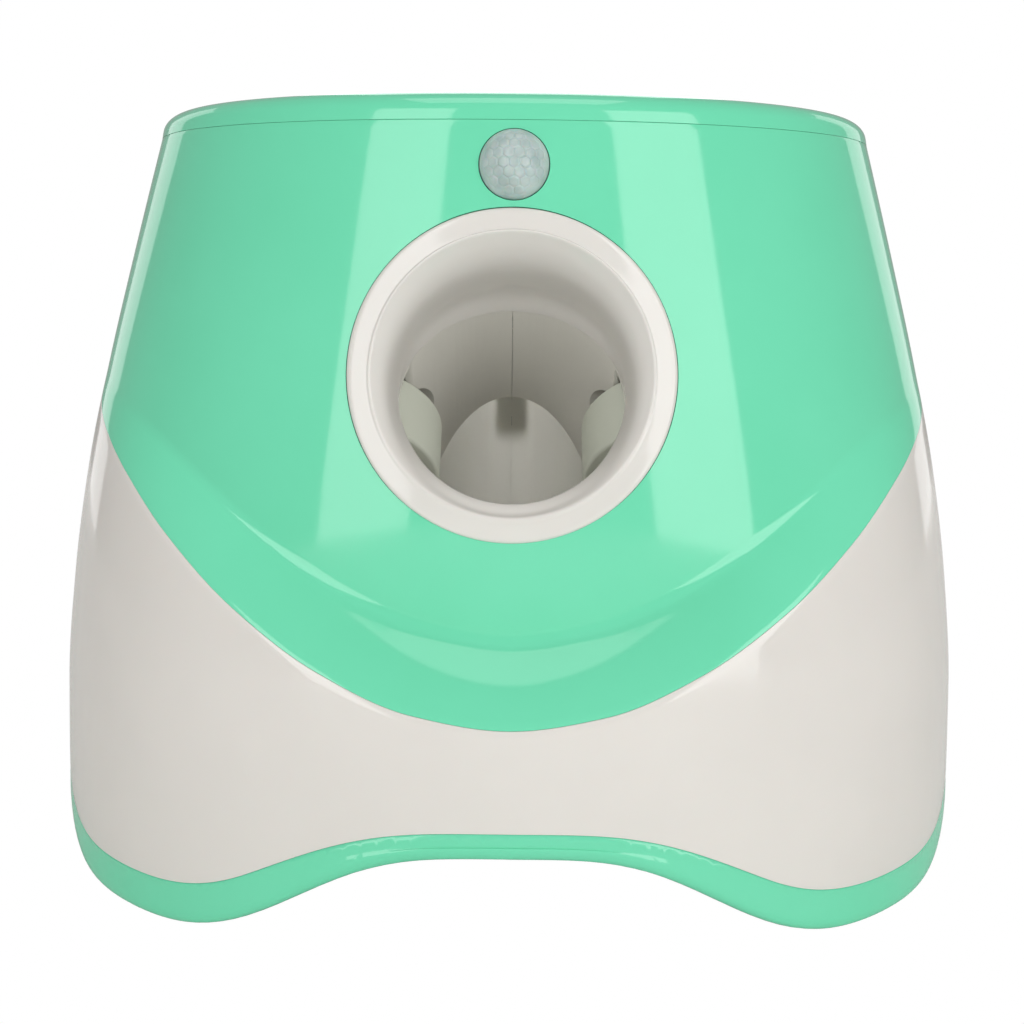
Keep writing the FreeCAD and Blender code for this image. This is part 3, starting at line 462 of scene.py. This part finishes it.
SLOT_MATERIALS = {
    # Green ABS moulded in a polished tool, so the softboxes show as clear, slightly soft streaks
    "green_abs": moulded("green_abs", "#6EDBB1", "#72DEB5", 0.07, 1.6, 0.0035),
    # White ABS of the lower body: a warm white, nearly as glossy as the green
    "white_abs": moulded("white_abs", "#DEDAD5", "#E2DED9", 0.09, 1.6, 0.0035, subsurface=0.04),
    # White ABS of the ring and the panel: the same warm white, moulded very smooth
    "ring_abs": moulded("ring_abs", "#DDDAD5", "#E1DED9", 0.10, 1.4, 0.0025, subsurface=0.04),
    # Grey-white ABS of the launch chamber: satin, with a fine grain
    "chamber_abs": moulded("chamber_abs", "#D9D7CF", "#DEDCD5", 0.42, 0.9, 0.006),
    # Soft moulded rubber of the flywheel tyres: pale grey-green and dull
    "wheel_rubber": moulded("wheel_rubber", "#CACEC0", "#D2D6C9", 0.50, 0.5, 0.02),
    # Moulded nylon of the wheel hubs: cream, with a low waxy gloss
    "hub_nylon": moulded("hub_nylon", "#D3D1C7", "#DBD9D0", 0.40, 0.6, 0.01),
    # Grey ABS of brackets, bosses and the battery tray, with a dull spark-eroded texture
    "bracket_abs": moulded("bracket_abs", "#BDBDB5", "#C6C6BE", 0.50, 0.35, 0.015),
    # Moulded rubber of the foot pads: dark, matt and grainy
    "pad_rubber": moulded("pad_rubber", "#3F4241", "#4C4F4E", 0.75, 0.5, 0.03),
    # Moulded housings of components, switches, speaker and inlet: black and satin
    "component_black": moulded("black_plastic", "#1E2124", "#2A2D31", 0.45, 0.3, 0.01),
    # Solder mask over a glass-fibre board: green, with a smooth half gloss
    "circuit_board": moulded("circuit_board", "#245C3A", "#2F7048", 0.35, 0.4, 0.01),
    # Moulded acetal of the gate: amber and waxy
    "gate_acetal": moulded("gate_acetal", "#E6A93C", "#EDB24A", 0.35, 0.7, 0.005),
    # Ground steel of the shafts: bright, with fine streaks
    "shaft_steel": metal("shaft_steel", "#B2B4B6", "#C0C2C4", 0.22, 0.2),
    # Zinc-plated steel of the motor cans: cool grey, half dull
    "zinc_can": metal("zinc_can", "#9EA1A4", "#B0B3B5", 0.32, 0.3),
    # Nickel-plated spring steel of the contacts: warm and bright
    "nickel_plate": metal("nickel_plate", "#BDB9AE", "#CBC7BC", 0.25, 0.3),
    # Zinc-plated screws: darker and duller than the cans
    "zinc_screw": metal("zinc_screw", "#8F9396", "#A6AAAD", 0.35, 0.2),
    "lens_polyethylene": lens_material(),
    "lamp_acrylic": lamp_material(),
}

RECORD = frame["record"]
NODE_SLOT = {row["node"]: row["material_slot"] for row in RECORD["subparts"]}
NODE_BODY = {node: body for body, nodes in RECORD["behaviour"]["bodies"].items() for node in nodes}


def finish_piece(piece, node):
    """Give a piece its node's material, slot and body, and let it stand for that node."""
    piece.data.materials.clear()
    piece.data.materials.append(SLOT_MATERIALS[NODE_SLOT[node]])
    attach(piece, NODE_BODY[node])
    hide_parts(node)


# Body shells: each is a list of heights and depths that runs round its wall's section

RING_LEAN = math.radians(RING_TILT)
RING_OUT = np.array([0, -math.cos(RING_LEAN), math.sin(RING_LEAN)])
RING_AT = np.array([0, RING_Y, RING_Z])
SENSOR_AT = np.array([0, SENSOR_Y, SENSOR_Z])


def shell_piece(name, path):
    """Shell whose rings are the body surface at each pair of heights and depth."""
    return loop_piece(name, [skin(TURN, heights, depth) for heights, depth in path])


def wall_rows(start, end, depth, first, last, count):
    """Heights at even shares of the way from one edge to another, all at one depth."""
    return [(between(start, end, share), depth) for share in np.linspace(first, last, count)]


def round_over(edge, towards, radius):
    """Outer edge rounded by a quarter circle: rows from the flank to the end face."""
    return [(edge + towards * radius * (1 - math.sin(angle)), radius * (1 - math.cos(angle)))
            for angle in QUARTER]


def rounded_outline(half_x, half_z, r, corner=16):
    """Rounded rectangle: a quarter circle about each corner's centre, anticlockwise from the right."""
    start = 90 * np.arange(4)[:, None]
    angle = np.radians(start + np.linspace(0, 90, corner))
    side_x, side_z = np.array([[1, -1, -1, 1], [1, 1, -1, -1]])[..., None]
    x = side_x * (half_x - r) + r * np.cos(angle)
    z = side_z * (half_z - r) + r * np.sin(angle)
    return x.ravel(), z.ravel()


def panel_hole():
    """Rounded rectangle carried square to the leaning back wall."""
    x, up = rounded_outline(PANEL_HOLE_X, PANEL_HOLE_Z, PANEL_CORNER)
    return capped_piece("panel_hole", [panel_point(x, out, up) for out in (PANEL_CUT_IN, PANEL_CUT_OUT)])


def sound_holes():
    """Hexagon of round holes, whose rows hold three, four, five, four and three."""
    x, y, z = SOUND_AT
    holes = []
    for row in range(-(SOUND_ROWS // 2), SOUND_ROWS // 2 + 1):
        count = SOUND_ROWS - abs(row)
        for place_in_row in np.arange(count) - (count - 1) / 2:
            at = (x + place_in_row * SOUND_PITCH, y, z + row * SOUND_PITCH * HEX_ROW)
            holes.append(rod("sound_hole", at, (0, 1, 0), SOUND_CUT, SOUND_RADIUS, sides=24))
    return holes


def make_body_shell():
    """White shell from the green band to the shield, open for the panel, the inlet and the sound."""
    low, high = band_edge(TURN) + 2 * SEAM, shield_edge(TURN) - SEAM
    path = [(low, WALL), (low, EDGE_LAND)] + round_over(low, 1, EDGE_ROUND)[::-1]
    path += wall_rows(low, high, 0.0, 0.02, 0.98, 60)
    path += round_over(high, -1, SEAM_ROUND) + [(high, EDGE_LAND), (high, WALL)]
    path += wall_rows(high, low, WALL, 0.05, 0.95, 16)
    shell = shell_piece("body_shell_moulding", path)
    inlet_at, inlet_out = wall_frame(INLET_TURN, INLET_Z)
    inlet_hole = rod("inlet_hole", inlet_at, inlet_out, INLET_CUT, INLET_RADIUS)
    cut(shell, [panel_hole(), inlet_hole] + sound_holes())
    finish_piece(shell, "body_shell")


def make_front_shield():
    """Green shield with its crease, the tongue inside its lower edge, and holes for ring and sensor."""
    low, fold = shield_edge(TURN) + SEAM, crease(TURN)
    top = np.full_like(TURN, SHIELD_TOP)
    path = [(low, STEP_IN), (low, EDGE_LAND)] + round_over(low, 1, SEAM_ROUND)[::-1]
    path += wall_rows(low, fold, 0.0, 0.05, 1, 24)
    path += wall_rows(fold, top, 0.0, 0.015, 0.985, 80)
    path += round_over(top, -1, EDGE_ROUND) + [(top, TOP_LAND), (top, WALL)]
    path += wall_rows(top, fold, WALL, 0.05, 1, 20)
    path += [(low + TONGUE_ROOT, WALL + STEP_IN), (low - TONGUE, WALL + STEP_IN), (low - TONGUE, STEP_IN)]
    shield = shell_piece("front_shield_moulding", path)
    ring_hole = rod("ring_hole", RING_AT, RING_OUT, RING_CUT, RING_RADIUS + RING_GAP, sides=256)
    sensor_hole = rod("sensor_hole", SENSOR_AT, RING_OUT, SENSOR_CUT, SENSOR_RADIUS + SENSOR_GAP, sides=128)
    cut(shield, [ring_hole, sensor_hole])
    finish_piece(shield, "front_shield")


make_body_shell()
make_front_shield()


# Hopper: rounded rim and bowl

def hopper_ring(z, half, squareness, middle):
    """Rounded square at one height."""
    s, c = np.sin(TURN), np.cos(TURN)
    r = half * (np.abs(s) ** squareness + np.abs(c) ** squareness) ** (-1 / squareness)
    return np.stack([r * s, middle - r * c, np.full_like(r, z)], -1)


def make_hopper():
    """Rings from the hem over the rim, down the bowl, round the neck and back underneath."""
    rings = HOPPER_HEM + through(HOPPER_TOP, 8) + HOPPER_NECK + through(HOPPER_UNDER, 4)
    hopper = loop_piece("hopper_moulding", [hopper_ring(*ring) for ring in rings])
    finish_piece(hopper, "hopper_funnel")


make_hopper()


# Muzzle ring

def make_muzzle_ring():
    """Face that follows the shield, then a lip: a Catmull-Rom curve through face, bend circle and bore."""
    across, up = np.cos(TURN), np.sin(TURN)

    def face(radius, proud):
        return skin_at(radius * across, RING_Z + radius * up * math.cos(RING_LEAN), -proud)

    def bore(radius, along):
        return barrel_point(radius * across, along, radius * up)

    rows = [face(RING_RADIUS, -RING_SKIRT), face(RING_RADIUS, -RING_WAIST)]
    for angle in QUARTER:
        inwards, back = RING_ROUND * (1 - math.cos(angle)), RING_ROUND * (1 - math.sin(angle))
        rows.append(face(RING_RADIUS - inwards, RING_PROUD - back))
    flat = np.linspace(RING_RADIUS - 2 * RING_ROUND, LIP_RADIUS + LIP_FLAT, 6)
    rows += [face(radius, RING_PROUD) for radius in flat]

    lean = math.radians(BEND_LEAN)
    bend = np.stack([BEND_RADIUS * across, BEND_Y + BEND_RADIUS * up * math.sin(lean),
                     BEND_Z + BEND_RADIUS * up * math.cos(lean)], -1)
    start = BORE_START + BORE_START_RUN * ((1 - up) / 2) ** BORE_START_POWER
    end = np.maximum(BORE_END_TOP, BORE_END_MIDDLE - BORE_END_RUN * up)
    end = np.maximum(end, start + BORE_LEAST)
    lip = [face(LIP_RADIUS + LIP_OUTER, RING_PROUD), face(LIP_RADIUS - LIP_INNER, RING_PROUD - LIP_DROP),
           bend, bore(BORE, start), bore(BORE, end)]
    rows += through(lip, 10)

    back, skirt = bore(BORE + BORE_WALL, end), face(RING_RADIUS - RING_WALL, -RING_SKIRT)
    rows += [between(back, skirt, share) for share in (0, 0.3, 0.6, 0.85, 1.0)]
    finish_piece(loop_piece("muzzle_ring_moulding", rows, RING_SHARP), "muzzle_ring")


make_muzzle_ring()


# Sensor dome: hexagonal lens cells pressed into a thin dome

def cell_distances(a, b):
    """Distances from each point to the nearest and next nearest cell middle of a hexagonal pattern."""
    count = np.arange(-LENS_CELLS, LENS_CELLS + 1)
    row, column = np.meshgrid(count, count, indexing="ij")
    cell_a = (column + 0.5 * (row % 2)) * LENS_PITCH
    cell_b = row * LENS_PITCH * HEX_ROW
    away = np.hypot(a[..., None] - cell_a.ravel(), b[..., None] - cell_b.ravel())
    nearest = np.partition(away, 1, axis=-1)
    return nearest[..., 0], nearest[..., 1]


def make_sensor_lens():
    """Polar dome whose height dips along the borders of hexagonal cells, on a stepped flange."""
    axis, side, up = frame_for(RING_OUT)
    seat = SENSOR_AT + axis * LENS_SEAT
    radius = SENSOR_RADIUS * np.sin(np.linspace(0.001, np.pi / 2, LENS_RINGS))[:, None]
    t = np.linspace(0, 2 * np.pi, LENS_SIDES, endpoint=False)
    u, v = radius * np.cos(t), radius * np.sin(t)
    dome = SENSOR_RADIUS * DOME_RATIO
    stretch = np.arcsin(radius / dome) * dome / radius
    best, second = cell_distances(u * stretch, v * stretch)
    border = np.clip((second - best) / LENS_BORDER, 0, 1)
    dip = LENS_GROOVE * (1 - border) ** 2 + LENS_CUP * (best / LENS_PITCH) ** 2
    height = np.sqrt(dome**2 - radius**2) - math.sqrt(dome**2 - SENSOR_RADIUS**2)
    height = height - dip * np.clip((SENSOR_RADIUS - radius) / LENS_RIM, 0, 1)
    outer = seat + u[..., None] * side + v[..., None] * up + height[..., None] * axis

    def ring(r, depth):
        return seat + r * np.cos(t)[:, None] * side + r * np.sin(t)[:, None] * up - depth * axis

    rows = [ring(0.01, FLANGE_BACK), ring(SENSOR_RADIUS - FLANGE_WALL, FLANGE_BACK),
            ring(SENSOR_RADIUS + FLANGE, FLANGE_BACK), ring(SENSOR_RADIUS + FLANGE, FLANGE_FRONT),
            ring(SENSOR_RADIUS, FLANGE_FRONT), ring(SENSOR_RADIUS, LENS_RIM)]
    finish_piece(capped_piece("sensor_dome", rows + list(outer[::-1]), LENS_SHARP), "sensor_lens")


make_sensor_lens()


# Every other solid keeps its form and gets a smooth finish

def smooth_copy(node):
    """Merged, smooth-shaded copy of a solid, with its hard corners kept."""
    mesh = frame["nodes"][node].data.copy()
    mesh.name = node + "_finish"
    work = bmesh.new()
    work.from_mesh(mesh)
    bmesh.ops.remove_doubles(work, verts=work.verts, dist=MERGE_DISTANCE * MM)
    work.to_mesh(mesh)
    work.free()
    shade_smooth(mesh, SOLID_SHARP)
    finish_piece(place(node + "_finish", mesh), node)


MODELLED = {"body_shell", "front_shield", "hopper_funnel", "muzzle_ring", "sensor_lens"}
for node in NODE_SLOT:
    if node not in MODELLED:
        smooth_copy(node)


# Floor, light and camera, in metres

FLOOR_HALF = 3.0
WORLD_LEVEL = 0.35
LAMP_AIM = (0, 0, 0.12)
CAMERA_DISTANCE, CAMERA_HEIGHT = 0.480, 0.1679
CAMERA_PITCH, CAMERA_ROLL = 9.23, 0.59
FOCAL_PIXELS, SHIFT_PIXELS, IMAGE_PIXELS = 1546.0, 1.3, 1024
FILM_WIDTH, CLIP_START = 36.0, 0.01


def white_to_camera(tree, lit, kind):
    """Plain white for the camera's own rays and the lit shader for every other ray."""
    white = add(tree, kind, Color=WHITE, Strength=1.0)
    ray = add(tree, "ShaderNodeLightPath").outputs["Is Camera Ray"]
    return add(tree, "ShaderNodeMixShader", {"Fac": ray, 1: lit.outputs[0], 2: white.outputs[0]}).outputs[0]


def make_floor():
    """Pale square under the object."""
    mesh = bpy.data.meshes.new("floor")
    corners = [(x * FLOOR_HALF, y * FLOOR_HALF, 0) for x, y in ((-1, -1), (1, -1), (1, 1), (-1, 1))]
    mesh.from_pydata(corners, [], [(0, 1, 2, 3)])
    material, tree, _ = start_material("pale_floor")
    lit = add(tree, "ShaderNodeBsdfDiffuse", Color=linear("#F4F4F2"))
    add(tree, "ShaderNodeOutputMaterial", {"Surface": white_to_camera(tree, lit, "ShaderNodeEmission")})
    mesh.materials.append(material)
    place("floor", mesh)


def make_world():
    """Soft room light, seen as plain white by the camera."""
    world = bpy.data.worlds.new("studio")
    bpy.context.scene.world = world
    world.use_nodes = True
    tree = world.node_tree
    tree.nodes.clear()
    room = add(tree, "ShaderNodeBackground", Color=linear("#FFFDFA"), Strength=WORLD_LEVEL)
    add(tree, "ShaderNodeOutputWorld", {"Surface": white_to_camera(tree, room, "ShaderNodeBackground")})


def softbox(name, azimuth, elevation, distance, width, height, radiance, aim=LAMP_AIM, spread=180.0):
    """Rectangular lamp facing a point; its power is radiance times pi times area."""
    lamp = bpy.data.lights.new(name, "AREA")
    lamp.shape = "RECTANGLE"
    lamp.size, lamp.size_y = width, height
    lamp.energy = radiance * math.pi * width * height
    lamp.spread = math.radians(spread)
    holder = place(name, lamp)
    a, e = math.radians(azimuth), math.radians(elevation)
    aim = np.array(aim)
    at = aim + distance * np.array([math.sin(a) * math.cos(e), -math.cos(a) * math.cos(e), math.sin(e)])
    holder.location = at.tolist()
    holder.rotation_euler = Vector((aim - at).tolist()).to_track_quat("-Z", "Y").to_euler()


def make_camera():
    """Camera half a metre in front, a little above the muzzle, pitched down and rolled a little."""
    data = bpy.data.cameras.new("photo_camera")
    data.sensor_width = FILM_WIDTH
    data.lens = FILM_WIDTH * FOCAL_PIXELS / IMAGE_PIXELS
    data.shift_x = SHIFT_PIXELS / IMAGE_PIXELS
    data.clip_start = CLIP_START
    camera = place("photo_camera", data)
    pitch = Matrix.Rotation(math.radians(90 - CAMERA_PITCH), 4, "X")
    roll = Matrix.Rotation(math.radians(CAMERA_ROLL), 4, "Z")
    turned = pitch @ roll
    camera.matrix_world = Matrix.Translation((0, -CAMERA_DISTANCE, CAMERA_HEIGHT)) @ turned
    bpy.context.scene.camera = camera


make_floor()
make_world()
# Two softboxes in front make the streaks on the shield, and two strips behind edge the flanks
softbox("left_softbox", azimuth=-25, elevation=12, distance=1.3, width=0.48, height=1.3, radiance=3.1)
softbox("right_softbox", azimuth=36, elevation=12, distance=1.3, width=0.58, height=1.3, radiance=3.3)
softbox("left_strip", azimuth=-135, elevation=8, distance=1.2, width=0.35, height=1.2, radiance=0.9)
softbox("right_strip", azimuth=135, elevation=8, distance=1.2, width=0.35, height=1.2, radiance=0.9)
# Narrow beam down the hopper, seen from the front only as the lit back wall behind the muzzle
softbox("hopper_beam", azimuth=0, elevation=68, distance=0.9, width=0.07, height=0.07, radiance=1.1,
        aim=(0, 0.011, 0.1), spread=4.0)
softbox("back_softbox", azimuth=180, elevation=25, distance=1.3, width=0.5, height=0.9, radiance=1.5)
softbox("top_softbox", azimuth=0, elevation=87, distance=1.2, width=0.6, height=0.6, radiance=1.7)
make_camera()
bpy.context.scene.view_settings.view_transform = "Standard"
